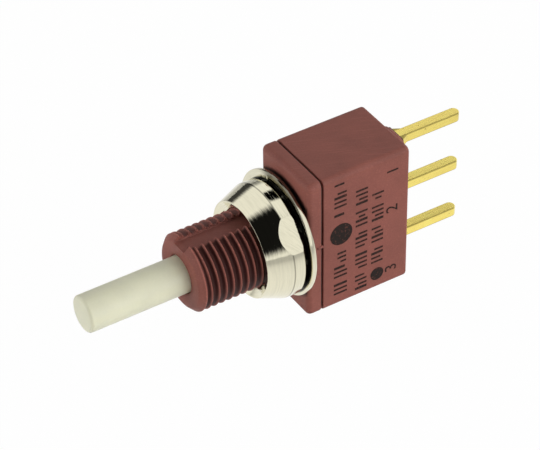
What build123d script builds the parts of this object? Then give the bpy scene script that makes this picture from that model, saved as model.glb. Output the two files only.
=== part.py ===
"""Sealed miniature push-button changeover switch with a threaded bushing and three pins.

The plunger slides along Y and stands out to -Y. The pins point to +Y, in a row along Z.
The origin is on the plunger's axis, in the front face of the housing flange. Sizes are in mm.
The moving contact is a rocker on the common terminal: it closes the lower pair of contacts at
rest and the upper pair when the plunger is pressed.
"""
from build123d import *
from math import cos, radians, sin, tan
import os

# Case and flange
CASE_W = 6.6
CASE_H = 12.7
CORNER_R = 0.5
FLANGE_T = 1.22
FLANGE_FRONT_R = 0.45
GASKET_T = 0.16
GASKET_INSET = 0.2
CASE_DEPTH = 7.82
CASE_BACK_R = 0.25
WALL = 0.7
CAVITY_R = 0.3
FLOOR_T = 1.75
SPIGOT_DEPTH = 0.98
SPIGOT_CLEARANCE = 0.05

# Bushing
BUSHING_R = 3.175
BUSHING_L = 9.3
BUSHING_CHAMFER = 0.45
LIP_T = 0.9
KEYWAY_W = 1.5
KEYWAY_DEPTH = 0.62
THREAD_PITCH = 0.635
THREAD_DEPTH = 0.36
THREAD_CREST_W = 0.12
THREAD_ROOT_W = 0.12
THREAD_START = 0.635

# Plunger and its seal
PLUNGER_R = 1.5
PLUNGER_REACH = 8.4
TIP_CHAMFER = 0.2
LIP_CLEARANCE = 0.07
COLLAR_R = 2.18
COLLAR_L = 3.35
COLLAR_CLEARANCE = 0.07
STOP_GAP = 0.05
TRAVEL = 1.6
STEM_W = 2.4
STEM_CORNER_R = 0.15
STEM_BEHIND_PLATE = 0.4
O_RING_WIRE_R = 0.3
O_RING_CLEARANCE = 0.04
GROOVE_SIDE = 0.05
GROOVE_FLOOR_GAP = 0.02
GROOVE_FROM_COLLAR = 1.1

# Spring plate
PLATE_T = 0.3
PLATE_HOLE_CLEARANCE = 0.06
PLATE_EDGE_CLEARANCE = 0.1
LEDGE_W = 0.45
PLATE_STUD_R = 0.4
PLATE_STUD_H = 0.3

# Driver inside the plunger
SHANK_W = 1.4
SHANK_CORNER_R = 0.15
SHANK_CLEARANCE = 0.05
SHANK_L = 3.9
DRIVER_SPRING_L = 3.9
HEAD_W = 1.8
HEAD_T = 0.7
HEAD_BELOW = 0.8
NOSE_R = 0.5
NOSE_W = 1.4
NOSE_OFFSET = 1.9
NOSE_GAP = 0.03
NOSE_SET_IN = 0.05

# Rocker
SWING = 12.0
ROCKER_W = 2.0
ROCKER_T = 0.3
ROCKER_REAR = 0.05
ROCKER_PAST_PIN = 0.15
PIVOT_FROM_FLOOR = 1.4
HUMP_R = 0.55
RIDGE_R = 0.2
RIDGE_CLEARANCE = 0.05
ROCKER_PAD_T = 0.2
ROCKER_PAD_W = 1.6
ROCKER_PAD_H = 0.6
ROCKER_PAD_EDGE = 0.05
CLOSED_GAP = 0.01

# Wire springs
RETURN_SPRING_WIRE_R = 0.16
RETURN_SPRING_CLEARANCE = 0.14
RETURN_SPRING_TURNS = 7
DRIVER_SPRING_WIRE_R = 0.1
DRIVER_SPRING_CLEARANCE = 0.1
DRIVER_SPRING_TURNS = 8
BIAS_SPRING_WIRE_R = 0.1
BIAS_SPRING_CLEARANCE = 0.1
BIAS_SPRING_TURNS = 7
BIAS_OFFSET = 2.9
SPRING_END_GAP = 0.02

# Terminals, stamped from strip that is PIN_T thick along Z
PIN_FROM_END = 1.65
PIN_T = 0.81
PIN_W = 0.91
PIN_L = 6.8
NECK_W = 1.5
NECK_PROUD = 0.15
NECK_TAPER = 0.55
HEAD_PLATE_W = 2.6
FIXED_PAD_T = 0.2
FIXED_PAD_W = 1.8
FIXED_PAD_H = 0.7
SLOT_CLEARANCE = 0.02

# Raised pad round the pins, with a sealed well for each
BOSS_W = 3.6
BOSS_FROM_END = 0.9
BOSS_T = 1.0
BOSS_R = 1.3
BOSS_EDGE_R = 0.45
WELL_W = 2.0
WELL_H = 1.05
WELL_DEPTH = 0.5
WELL_R = 0.2

# Nut and washer on the bushing
NUT_R = 4.7
NUT_FRONT_R = 3.95
NUT_WASHER_GAP = 0.15
NUT_T = 3.0
NUT_RIM_T = 1.03
NUT_FLATS = 8.94
NUT_FLATS_ANGLE = 38.0
NUT_BORE_CLEARANCE = 0.05
NUT_SINK = 0.5
NUT_LAND = 0.1
NUT_BACK_CHAMFER = 0.12
WASHER_R = 5.15
WASHER_RING_W = 0.95
WASHER_T = 0.6
WASHER_FLANGE_GAP = 0.25
WASHER_SHIFT_X = -0.11
WASHER_SHIFT_Z = 0.14
TOOTH_COUNT = 10
TOOTH_W = 0.9
TOOTH_T = 0.42
TOOTH_TWIST = 28.0
TOOTH_CLEARANCE = 0.275
TOOTH_ROOT = 0.2

# Places that follow from the sizes
case_front_y = FLANGE_T + GASKET_T
case_back_y = case_front_y + CASE_DEPTH
floor_y = case_back_y - FLOOR_T
boss_y = case_back_y + BOSS_T
boss_h = CASE_H - 2 * BOSS_FROM_END
pitch = CASE_H / 2 - PIN_FROM_END
cavity_w = CASE_W - 2 * WALL
cavity_h = CASE_H - 2 * WALL
spigot_w = cavity_w - 2 * SPIGOT_CLEARANCE
spigot_h = cavity_h - 2 * SPIGOT_CLEARANCE
plate_y = FLANGE_T + SPIGOT_DEPTH
ledge_y = plate_y + PLATE_T
step_y = LIP_T - BUSHING_L
spring_bore_r = COLLAR_R + COLLAR_CLEARANCE
collar_front_y = step_y + STOP_GAP
collar_back_y = collar_front_y + COLLAR_L
tip_y = -BUSHING_L - PLUNGER_REACH
stem_end_y = ledge_y + STEM_BEHIND_PLATE
groove_y = collar_front_y + GROOVE_FROM_COLLAR
o_ring_r = spring_bore_r - O_RING_CLEARANCE - O_RING_WIRE_R
pivot_y = floor_y - PIVOT_FROM_FLOOR
half_swing = radians(SWING / 2)
rocker_front = ROCKER_T - ROCKER_REAR
nose_y = pivot_y - (rocker_front + NOSE_R + NOSE_GAP + NOSE_OFFSET * sin(half_swing)) / cos(half_swing)
driver_travel = 2 * NOSE_OFFSET * tan(half_swing)
head_back_y = nose_y - NOSE_SET_IN
head_front_y = head_back_y - HEAD_T
shank_y = head_front_y - SHANK_L
socket_y = shank_y - DRIVER_SPRING_L
socket_w = SHANK_W + 2 * SHANK_CLEARANCE
rocker_half = pitch + ROCKER_PAST_PIN
rocker_pad_z = rocker_half - ROCKER_PAD_EDGE - ROCKER_PAD_H / 2
pad_depth = ROCKER_REAR + ROCKER_PAD_T
closed_y = (pivot_y + pad_depth * cos(half_swing)
            + (rocker_pad_z + ROCKER_PAD_H / 2) * sin(half_swing) + CLOSED_GAP)
terminal_front_y = closed_y + FIXED_PAD_T
pin_end_y = case_back_y + PIN_L
washer_y = -WASHER_FLANGE_GAP - WASHER_T / 2
nut_back_y = -WASHER_FLANGE_GAP - WASHER_T - NUT_WASHER_GAP
tooth_tip_r = BUSHING_R + TOOTH_CLEARANCE
return_spring_r = spring_bore_r - RETURN_SPRING_CLEARANCE - RETURN_SPRING_WIRE_R
driver_spring_r = socket_w / 2 - DRIVER_SPRING_CLEARANCE - DRIVER_SPRING_WIRE_R
bias_spring_r = PLATE_STUD_R + BIAS_SPRING_CLEARANCE + BIAS_SPRING_WIRE_R


def slab(x0, x1, y0, y1, z0, z1):
    """A box between two corners."""
    centre = Pos((x0 + x1) / 2, (y0 + y1) / 2, (z0 + z1) / 2)
    return centre * Box(abs(x1 - x0), abs(y1 - y0), abs(z1 - z0))


def rod(radius, y0, y1, x=0, z=0):
    """A round rod along Y."""
    return Pos(x, (y0 + y1) / 2, z) * Rot(X=90) * Cylinder(radius, abs(y1 - y0))


def bar(width, height, radius, y0, y1, z=0):
    """A bar along Y with a rounded rectangle for its section."""
    section = Plane.XZ.offset(-y0) * Pos(0, z) * RectangleRounded(width, height, radius)
    return extrude(section, -(y1 - y0))


def turned(points):
    """A turned solid about Y from (radius, y) points."""
    return revolve(make_face(Polyline(*points, close=True)), Axis.Y)


def edges_at_y(part, y):
    """The edges that lie in the plane at y."""
    return part.edges().filter_by_position(Axis.Y, y - 0.001, y + 0.001)


def coil(radius, wire_r, turns, y0, y1, z=0):
    """A wire compression spring between two faces that stand at y0 and y1."""
    start = y0 + wire_r + SPRING_END_GAP
    length = y1 - wire_r - SPRING_END_GAP - start
    path = Helix(length / turns, length, radius)
    wire = sweep(Plane(path @ 0, z_dir=path % 0) * Circle(wire_r), path=path, is_frenet=True)
    return Pos(0, start, z) * Rot(X=-90) * wire


def thread_groove():
    """The helical groove of a right-handed thread, from the bushing's front to near the flange."""
    overshoot = THREAD_DEPTH / 6
    crest_gap = THREAD_PITCH - THREAD_CREST_W
    flank = (crest_gap - THREAD_ROOT_W) / 2 / THREAD_DEPTH
    mouth_w = crest_gap + 2 * flank * overshoot
    turns = int((BUSHING_L - THREAD_START - THREAD_PITCH / 2) / THREAD_PITCH)
    path = Helix(THREAD_PITCH, turns * THREAD_PITCH, BUSHING_R)
    outline = Polyline((-THREAD_DEPTH, -THREAD_ROOT_W / 2), (overshoot, -mouth_w / 2),
                       (overshoot, mouth_w / 2), (-THREAD_DEPTH, THREAD_ROOT_W / 2), close=True)
    section = Plane(path @ 0, x_dir=(1, 0, 0), z_dir=path % 0) * make_face(outline)
    groove = sweep(section, path=path, is_frenet=True)
    return Pos(0, THREAD_START - BUSHING_L, 0) * Rot(X=-90) * groove


def front_housing():
    """Flange and threaded bushing in one moulding, with the spigot that enters the case."""
    flange = bar(CASE_W, CASE_H, CORNER_R, 0, FLANGE_T)
    flange = fillet(edges_at_y(flange, 0), FLANGE_FRONT_R)
    spigot = bar(spigot_w, spigot_h, CAVITY_R, FLANGE_T, plate_y)
    bushing = rod(BUSHING_R, -BUSHING_L, 0)
    bushing = chamfer(edges_at_y(bushing, -BUSHING_L), BUSHING_CHAMFER)
    bushing -= thread_groove()
    lip_hole = rod(PLUNGER_R + LIP_CLEARANCE, -BUSHING_L, step_y)
    spring_bore = rod(spring_bore_r, step_y, plate_y)
    keyway = slab(-KEYWAY_W / 2, KEYWAY_W / 2, -BUSHING_L, 0, BUSHING_R - KEYWAY_DEPTH, 2 * BUSHING_R)
    return flange + spigot + bushing - keyway - lip_hole - spring_bore


def case_gasket():
    """Flat gasket between the flange and the case, round the spigot."""
    outside = bar(CASE_W - 2 * GASKET_INSET, CASE_H - 2 * GASKET_INSET, CORNER_R, FLANGE_T, case_front_y)
    return outside - bar(spigot_w, spigot_h, CAVITY_R, FLANGE_T, case_front_y)


def rear_case():
    """Deep cup with ledges for the spring plate, and the boss with slots and wells for the pins."""
    shell = bar(CASE_W, CASE_H, CORNER_R, case_front_y, case_back_y)
    shell = fillet(edges_at_y(shell, case_back_y), CASE_BACK_R)
    shell -= bar(cavity_w, cavity_h, CAVITY_R, case_front_y, floor_y)
    for side in (-1, 1):
        shell += slab(-cavity_w / 2 - WALL / 2, cavity_w / 2 + WALL / 2, ledge_y, floor_y,
                      side * (cavity_h / 2 - LEDGE_W), side * (cavity_h / 2 + WALL / 2))
    boss = bar(BOSS_W, boss_h, BOSS_R, case_back_y, boss_y)
    shell += fillet(edges_at_y(boss, boss_y), BOSS_EDGE_R)
    neck_slot_w = NECK_W + 2 * SLOT_CLEARANCE
    neck_slot_h = PIN_T + 2 * SLOT_CLEARANCE
    for z in (-pitch, 0, pitch):
        shell -= slab(-neck_slot_w / 2, neck_slot_w / 2, floor_y, boss_y,
                      z - neck_slot_h / 2, z + neck_slot_h / 2)
        shell -= bar(WELL_W, WELL_H, WELL_R, boss_y - WELL_DEPTH, boss_y, z)
    return shell


def terminal_seal(z):
    """Potted resin that fills one well round its pin."""
    neck = slab(-NECK_W / 2, NECK_W / 2, boss_y - WELL_DEPTH, boss_y, z - PIN_T / 2, z + PIN_T / 2)
    return bar(WELL_W, WELL_H, WELL_R, boss_y - WELL_DEPTH, boss_y, z) - neck


def terminal(z):
    """Stamped terminal: inner head, wide neck through the floor, taper, and a round-ended pin."""
    neck_end = boss_y + NECK_PROUD
    taper_end = neck_end + NECK_TAPER
    half = [(HEAD_PLATE_W / 2, terminal_front_y), (HEAD_PLATE_W / 2, floor_y), (NECK_W / 2, floor_y),
            (NECK_W / 2, neck_end), (PIN_W / 2, taper_end), (PIN_W / 2, pin_end_y - PIN_W / 2)]
    outline = half + [(-x, y) for x, y in reversed(half)]
    strip = extrude(make_face(Polyline(*outline, close=True)), PIN_T / 2, both=True)
    strip += Pos(0, pin_end_y - PIN_W / 2, 0) * Cylinder(PIN_W / 2, PIN_T)
    return Pos(0, 0, z) * strip


def terminal_common():
    """The middle terminal, with the ridge that the rocker tips on."""
    ridge = slab(-ROCKER_W / 2, ROCKER_W / 2, pivot_y, terminal_front_y, -RIDGE_R, RIDGE_R)
    ridge += Pos(0, pivot_y, 0) * Rot(Y=90) * Cylinder(RIDGE_R, ROCKER_W)
    return terminal(0) + ridge


def fixed_contact(z):
    """Contact bar on the inner head of an outer terminal."""
    return slab(-FIXED_PAD_W / 2, FIXED_PAD_W / 2, closed_y, terminal_front_y,
                z - FIXED_PAD_H / 2, z + FIXED_PAD_H / 2)


def tipped(part):
    """Turn a level piece of the rocker about the ridge to its place at rest."""
    return Pos(0, pivot_y, 0) * Rot(X=SWING / 2) * part


def rocker():
    """Moving contact strip with a hump and a channel over the ridge."""
    strip = slab(-ROCKER_W / 2, ROCKER_W / 2, -rocker_front, ROCKER_REAR, -rocker_half, rocker_half)
    hump = Rot(Y=90) * Cylinder(HUMP_R, ROCKER_W)
    hump &= slab(-ROCKER_W, ROCKER_W, -2 * HUMP_R, 0, -2 * HUMP_R, 2 * HUMP_R)
    channel_r = RIDGE_R + RIDGE_CLEARANCE
    channel = Rot(Y=90) * Cylinder(channel_r, 2 * ROCKER_W)
    channel += slab(-ROCKER_W, ROCKER_W, 0, 2 * ROCKER_T, -channel_r, channel_r)
    return tipped(strip + hump - channel)


def rocker_contact(side):
    """Contact bar near one end of the rocker: side is 1 for the upper end and -1 for the lower."""
    z = side * rocker_pad_z
    return tipped(slab(-ROCKER_PAD_W / 2, ROCKER_PAD_W / 2, ROCKER_REAR, pad_depth,
                       z - ROCKER_PAD_H / 2, z + ROCKER_PAD_H / 2))


def plunger():
    """Round push rod with a collar that carries the seal, and a square hollow stem behind it."""
    rod_part = rod(PLUNGER_R, tip_y, collar_front_y)
    rod_part = chamfer(edges_at_y(rod_part, tip_y), TIP_CHAMFER)
    collar = rod(COLLAR_R, collar_front_y, collar_back_y)
    groove_half = O_RING_WIRE_R + GROOVE_SIDE
    groove_floor_r = o_ring_r - O_RING_WIRE_R - GROOVE_FLOOR_GAP
    groove = rod(2 * COLLAR_R, groove_y - groove_half, groove_y + groove_half)
    groove -= rod(groove_floor_r, groove_y - groove_half, groove_y + groove_half)
    stem = bar(STEM_W, STEM_W, STEM_CORNER_R, collar_back_y, stem_end_y)
    socket = bar(socket_w, socket_w, STEM_CORNER_R, socket_y, stem_end_y)
    return rod_part + collar - groove + stem - socket


def plunger_o_ring():
    """Rubber ring in the collar's groove."""
    return Pos(0, groove_y, 0) * Rot(X=90) * Torus(o_ring_r, O_RING_WIRE_R)


def spring_plate():
    """Plate held between the spigot and the case ledges: it guides the stem and seats two springs."""
    plate = bar(cavity_w - 2 * PLATE_EDGE_CLEARANCE, cavity_h - 2 * PLATE_EDGE_CLEARANCE, CAVITY_R,
                plate_y, ledge_y)
    hole_w = STEM_W + 2 * PLATE_HOLE_CLEARANCE
    plate -= bar(hole_w, hole_w, STEM_CORNER_R, plate_y, ledge_y)
    return plate + rod(PLATE_STUD_R, ledge_y, ledge_y + PLATE_STUD_H, z=-BIAS_OFFSET)


def driver():
    """Square shank in the plunger's socket, with a head whose nose presses the upper rocker arm."""
    shank = bar(SHANK_W, SHANK_W, SHANK_CORNER_R, shank_y, head_front_y)
    head = slab(-HEAD_W / 2, HEAD_W / 2, head_front_y, head_back_y, -HEAD_BELOW, NOSE_OFFSET + NOSE_R)
    neck = slab(-NOSE_W / 2, NOSE_W / 2, head_back_y, nose_y, NOSE_OFFSET - NOSE_R, NOSE_OFFSET + NOSE_R)
    nose = Pos(0, nose_y, NOSE_OFFSET) * Rot(Y=90) * Cylinder(NOSE_R, NOSE_W)
    return shank + head + neck + nose


def return_spring():
    """Spring round the stem that pushes the plunger out."""
    return coil(return_spring_r, RETURN_SPRING_WIRE_R, RETURN_SPRING_TURNS, collar_back_y, plate_y)


def driver_spring():
    """Spring in the plunger's socket behind the driver."""
    return coil(driver_spring_r, DRIVER_SPRING_WIRE_R, DRIVER_SPRING_TURNS, socket_y, shank_y)


def bias_spring():
    """Spring that keeps the lower rocker arm closed at rest."""
    near_edge = BIAS_OFFSET - bias_spring_r - BIAS_SPRING_WIRE_R
    rocker_y = pivot_y - rocker_front / cos(half_swing) + near_edge * tan(half_swing)
    return coil(bias_spring_r, BIAS_SPRING_WIRE_R, BIAS_SPRING_TURNS, ledge_y, rocker_y, -BIAS_OFFSET)


def panel_nut():
    """Round conical nut with two wrench flats and a sunk bore at each end."""
    bore_r = BUSHING_R + NUT_BORE_CLEARANCE
    sink_r = NUT_FRONT_R - NUT_LAND
    front_y = nut_back_y - NUT_T
    nut = turned([(bore_r, nut_back_y), (NUT_R - NUT_BACK_CHAMFER, nut_back_y),
                  (NUT_R, nut_back_y - NUT_BACK_CHAMFER), (NUT_R, nut_back_y - NUT_RIM_T),
                  (NUT_FRONT_R, front_y), (sink_r, front_y), (bore_r, front_y + NUT_SINK)])
    for side in (-1, 1):
        flat = slab(side * NUT_FLATS / 2, side * 2 * NUT_R, front_y, nut_back_y, -2 * NUT_R, 2 * NUT_R)
        nut -= Rot(Y=-NUT_FLATS_ANGLE) * flat
    return nut


def lock_washer():
    """Flat ring with twisted teeth on its inside, a little off the axis as it hangs on the bushing."""
    ring_r = WASHER_R - WASHER_RING_W
    washer = rod(WASHER_R, washer_y - WASHER_T / 2, washer_y + WASHER_T / 2)
    washer -= rod(ring_r, washer_y - WASHER_T / 2, washer_y + WASHER_T / 2)
    tooth_l = ring_r + TOOTH_ROOT - tooth_tip_r
    tooth = Rot(X=TOOTH_TWIST) * Box(tooth_l, TOOTH_T, TOOTH_W)
    tooth = Pos(ring_r + TOOTH_ROOT - tooth_l / 2, washer_y, 0) * tooth
    for k in range(TOOTH_COUNT):
        washer += Rot(Y=360 * k / TOOTH_COUNT) * tooth
    return Pos(WASHER_SHIFT_X, 0, WASHER_SHIFT_Z) * washer


def build():
    """Every piece by its name."""
    return {
        "front_housing": front_housing(),
        "rear_case": rear_case(),
        "case_gasket": case_gasket(),
        "panel_nut": panel_nut(),
        "lock_washer": lock_washer(),
        "plunger": plunger(),
        "plunger_o_ring": plunger_o_ring(),
        "return_spring": return_spring(),
        "spring_plate": spring_plate(),
        "driver": driver(),
        "driver_spring": driver_spring(),
        "rocker": rocker(),
        "rocker_contact_no": rocker_contact(1),
        "rocker_contact_nc": rocker_contact(-1),
        "bias_spring": bias_spring(),
        "terminal_no": terminal(pitch),
        "terminal_common": terminal_common(),
        "terminal_nc": terminal(-pitch),
        "fixed_contact_no": fixed_contact(pitch),
        "fixed_contact_nc": fixed_contact(-pitch),
        "terminal_seal_no": terminal_seal(pitch),
        "terminal_seal_common": terminal_seal(0),
        "terminal_seal_nc": terminal_seal(-pitch),
    }


os.makedirs("parts", exist_ok=True)
for name, part in build().items():
    export_step(part, f"parts/{name}.step")
print(f"driver moves {driver_travel:.4f} of {TRAVEL} mm, rocker hinge at y {pivot_y:.4f}")
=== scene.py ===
from math import cos, hypot, pi, radians, sin, sqrt

import bmesh
import bpy
from bpy.props import FloatProperty, FloatVectorProperty, IntProperty, PointerProperty
from mathutils import Matrix, Vector


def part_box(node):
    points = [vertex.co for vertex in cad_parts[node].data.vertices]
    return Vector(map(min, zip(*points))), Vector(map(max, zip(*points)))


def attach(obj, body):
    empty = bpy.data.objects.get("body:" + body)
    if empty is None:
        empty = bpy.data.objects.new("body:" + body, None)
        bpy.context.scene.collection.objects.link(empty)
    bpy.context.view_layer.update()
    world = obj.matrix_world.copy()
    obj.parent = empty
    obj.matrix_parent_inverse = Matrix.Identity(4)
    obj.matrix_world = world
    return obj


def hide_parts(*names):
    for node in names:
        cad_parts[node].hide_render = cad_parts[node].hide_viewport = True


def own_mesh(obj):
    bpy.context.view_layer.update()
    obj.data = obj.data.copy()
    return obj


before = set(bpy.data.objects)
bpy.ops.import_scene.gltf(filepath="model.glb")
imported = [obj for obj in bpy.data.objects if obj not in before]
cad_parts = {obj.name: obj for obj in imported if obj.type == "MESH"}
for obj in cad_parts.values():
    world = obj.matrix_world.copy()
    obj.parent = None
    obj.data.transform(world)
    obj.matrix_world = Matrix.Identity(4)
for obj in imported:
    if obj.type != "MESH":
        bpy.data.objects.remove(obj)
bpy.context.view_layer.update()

bl_info = {
    "name": "Sealed push-button switch",
    "version": (1, 0, 0),
    "blender": (4, 5, 0),
    "location": "View3D > Sidebar > Switch",
    "description": "Builds the pieces, finishes and studio of a small sealed push-button switch",
    "category": "Add Mesh",
}

# Shapes are made in millimetres, and scaled to the frame's metres when a piece is finished.
MM = 0.001
X, Y, Z = 0, 1, 2


def extent(node, axis):
    """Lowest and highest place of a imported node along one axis, in millimetres."""
    low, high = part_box(node)
    return low[axis] / MM, high[axis] / MM


def middle(node, axis):
    """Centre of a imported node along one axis, in millimetres."""
    low, high = extent(node, axis)
    return (low + high) / 2


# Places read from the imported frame
HALF_W = extent("front_housing", X)[1]
HALF_H = extent("front_housing", Z)[1]
BUSHING_FRONT, SPIGOT_BACK = extent("front_housing", Y)
GASKET_FRONT, CASE_FRONT = extent("case_gasket", Y)
BOSS_BACK = extent("rear_case", Y)[1]
WELL_FLOOR = extent("terminal_seal_no", Y)[0]
PIN_PITCH = middle("terminal_no", Z)
PIN_ROW = (-PIN_PITCH, 0.0, PIN_PITCH)
NUT_FRONT, NUT_BACK = extent("panel_nut", Y)
NUT_R = extent("panel_nut", Z)[1]
WASHER_FRONT, WASHER_BACK = extent("lock_washer", Y)
WASHER_MIDDLE_X = middle("lock_washer", X)
WASHER_MIDDLE_Z = middle("lock_washer", Z)
WASHER_R = extent("lock_washer", X)[1] - WASHER_MIDDLE_X
PLUNGER_FRONT, STEM_BACK = extent("plunger", Y)
COLLAR_R = extent("plunger", X)[1]
SPRING_GAP = 0.02
SOCKET_FRONT = extent("driver_spring", Y)[0] - SPRING_GAP
FLOOR_Z = -HALF_H

# Sizes that a box can't give
THREAD_R = 3.175
CASE_BACK = 9.2
CAVITY_BACK = 7.45
CAVITY_R = 0.3
WALL = 0.7
LEDGE_W = 0.45
LEDGE_FRONT = 2.5
SPIGOT_GAP = 0.05
LIP_BACK = -8.4
LIP_HOLE_R = 1.57
BORE_R = 2.25
SHAFT_R = 1.5
COLLAR_FRONT = -8.35
COLLAR_BACK = -5.0
GROOVE_MIDDLE = -7.25
GROOVE_HALF = 0.35
GROOVE_FLOOR_R = 1.59
STEM_W = 2.4
SOCKET_W = 1.5
STEM_CORNER_R = 0.15
BOSS_W = 3.6
BOSS_H = 10.9
BOSS_R = 1.3
WELL_W = 2.0
WELL_H = 1.05
WELL_R = 0.2
NECK_SLOT_W = 1.54
NECK_SLOT_H = 0.85
NUT_BORE_R = 3.225
NUT_RIM_FRONT = -2.03
NUT_CHAMFER = 0.12
RING_R = 4.2
TOOTH_TIP_R = 3.45
TOOTH_ROOT_R = 4.4
TOOTH_W = 0.9
TOOTH_T = 0.42

# Thread: points in a ridge's profile, its sharpness, its gap to the bar's surface, how far it is
# wound and kept, and how far its lead-in starts before the chamfer's end
RIDGE_POINTS = 12
RIDGE_SHARPNESS = 1.9
CREST_GAP = 0.005
WOUND_TO = 0.6
THREAD_BACK = 0.4
LEAD_SETBACK = 0.05

# The plain bar that the thread is cut into: how far it stands past the thread and reaches back, its
# rounding at the front and in the keyway, and the slope at the bore's mouth
BLANK_OVER = 0.15
BLANK_BACK = 0.3
BUSHING_EDGE = 0.12
MOUTH_CHAMFER = 0.08

# The small tick that crosses the seam on the printed side
TICK_FRONT = 0.86
TICK_LOW, TICK_HIGH = 0.1, 0.3
TICK_SINK = 0.2
TICK_RISE = 0.05
TICK_EDGE = 0.03
TICK_GAP = 0.02

# How far joined shapes reach into each other, and how far a cutter runs past what it cuts
OVERLAP = 0.3
BOSS_OVERLAP = 0.4
OVERRUN = 0.5
WIDE_OVERRUN = 1.0

# Steps round a full turn
THREAD_STEPS = 120
METAL_STEPS = 160
ROD_STEPS = 120
BORE_STEPS = 96
DOT_STEPS = 48
COIL_STEPS = 40
WIRE_SIDES = 10

# How near counts as the same place, in millimetres: when edges are picked and points are welded
NEAR = 1e-4
RING_NEAR = 1e-3
WELD = 1e-4
PACKED_WELD = 1e-3
SCREW_WELD = 2e-3

# Radii and half sizes between which a finish changes: where the bushing starts, the crests' painted
# highlight, and painted shade in the grooves, behind the nut, on the washer's inner ring and on pin
# edges
ON_BUSHING = (2.0, 2.1)
CREST = (3.11, 3.16)
GROOVE = (2.98, 3.14)
BEHIND_NUT = (5.5, 5.0)
UNDER_RING = (4.8, 4.65)
PIN_EDGE_Z = (0.29, 0.35)
PIN_EDGE_X = (0.35, 0.41)

# Dark tints of painted shade that the finishes blend to, as linear colours: in the grooves, behind
# the nut, as a dark reflection on the washer's rim, and between hidden parts
GROOVE_PAINTED_SHADE = (0.05, 0.012, 0.010, 1.0)
BEHIND_NUT_PAINTED_SHADE = (0.012, 0.005, 0.004, 1.0)
RIM_PAINTED_REFLECTION = (0.07, 0.06, 0.045, 1.0)
CREVICE_PAINTED_SHADE = (0.01, 0.01, 0.008, 1.0)

# Rows of print on the side, as (first y, last y, first z, last z)
BAR_ROWS = (
    (2.35, 3.55, -5.2, -2.6),
    (2.65, 3.45, -2.1, -0.95),
    (2.35, 3.45, 2.5, 5.5),
    (4.3, 5.38, -6.0, 4.5),
    (5.78, 6.85, -3.6, 3.15),
)
# Some bars are cut short at one end or the other, by millimetres, or are bolder, by a factor
BAR_SHORT = 0.28
BAR_CLIPPED = 0.22
BAR_BOLD = 1.35
# Round dots as (y, z, radius), and the terminals' numbers with the z that each starts at
INK_DOTS = ((2.99, 0.68, 1.0), (6.34, -4.8, 0.6))
TERMINAL_NUMBERS = (("1", 4.45), ("2", 0.75), ("3", -5.15))
NUMBER_TOP_Y = 7.08
NUMBER_H = 1.05
FONT_CAP_SHARE = 0.7
INK_T = 0.012
INK_SINK = 0.002

# The photograph's view: place in metres, and the directions of its right, up and forward
CAMERA_PLACE = (0.1316, -0.0830, 0.1281)
CAMERA_RIGHT = (0.5348232, 0.8448959, -0.0107292)
CAMERA_UP = (-0.5310160, 0.3459585, 0.7735210)
CAMERA_FORWARD = (-0.6572565, 0.4079996, -0.6336799)
CAMERA_LENS = 176.0
SENSOR_W = 36.0

# Patches of the surrounding light as azimuth, elevation, inner and outer angle in degrees, and
# brightness. Mirrored rays see an even light with the dark patches alone.
LIGHT_PATCHES = (
    (38, 8, 12, 60, 3.6),
    (-85, 6, 10, 45, 3.9),
    (-42, 47, 35, 51, 0.008),
    (139, 52, 10, 14, 0.0),
    (172, 4, 10, 24, 0.05),
)
HORIZON_LIGHT = 1.35
ZENITH_LIGHT = 0.48
ZENITH_HEIGHT = 0.8
LIGHT_IN_METAL = 1.0

# Share of pure white in the floor as the camera sees it, and as metal mirrors it far away; near and
# far are distances from the origin in millimetres. The paper's shade is what it throws back.
FLOOR_WHITE = 0.985
FLOOR_WHITE_FAR = 0.1
FLOOR_NEAR = 5.0
FLOOR_FAR = 60.0
FLOOR_SHADE = 0.70
FLOOR_HALF_SIZE = 1.5


def paint(red, green, blue):
    """A linear colour from the 0 to 255 values that it shows on a screen."""
    parts = []
    for value in (red, green, blue):
        share = value / 255
        parts.append(share / 12.92 if share <= 0.04045 else ((share + 0.055) / 1.055) ** 2.4)
    return (*parts, 1.0)


def length(label, about, millimetres):
    """A length setting with its default given in millimetres."""
    return FloatProperty(name=label, description=about, default=millimetres * MM, min=0,
                         unit="LENGTH", precision=5)


def turn(label, about, degrees):
    """An angle setting with its default given in degrees."""
    return FloatProperty(name=label, description=about, default=radians(degrees),
                         unit="ROTATION", subtype="ANGLE")


def colour(label, about, *screen):
    """A colour setting with its default given as screen values."""
    return FloatVectorProperty(name=label, description=about, default=paint(*screen), size=4,
                               min=0, max=1, subtype="COLOR")


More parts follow.
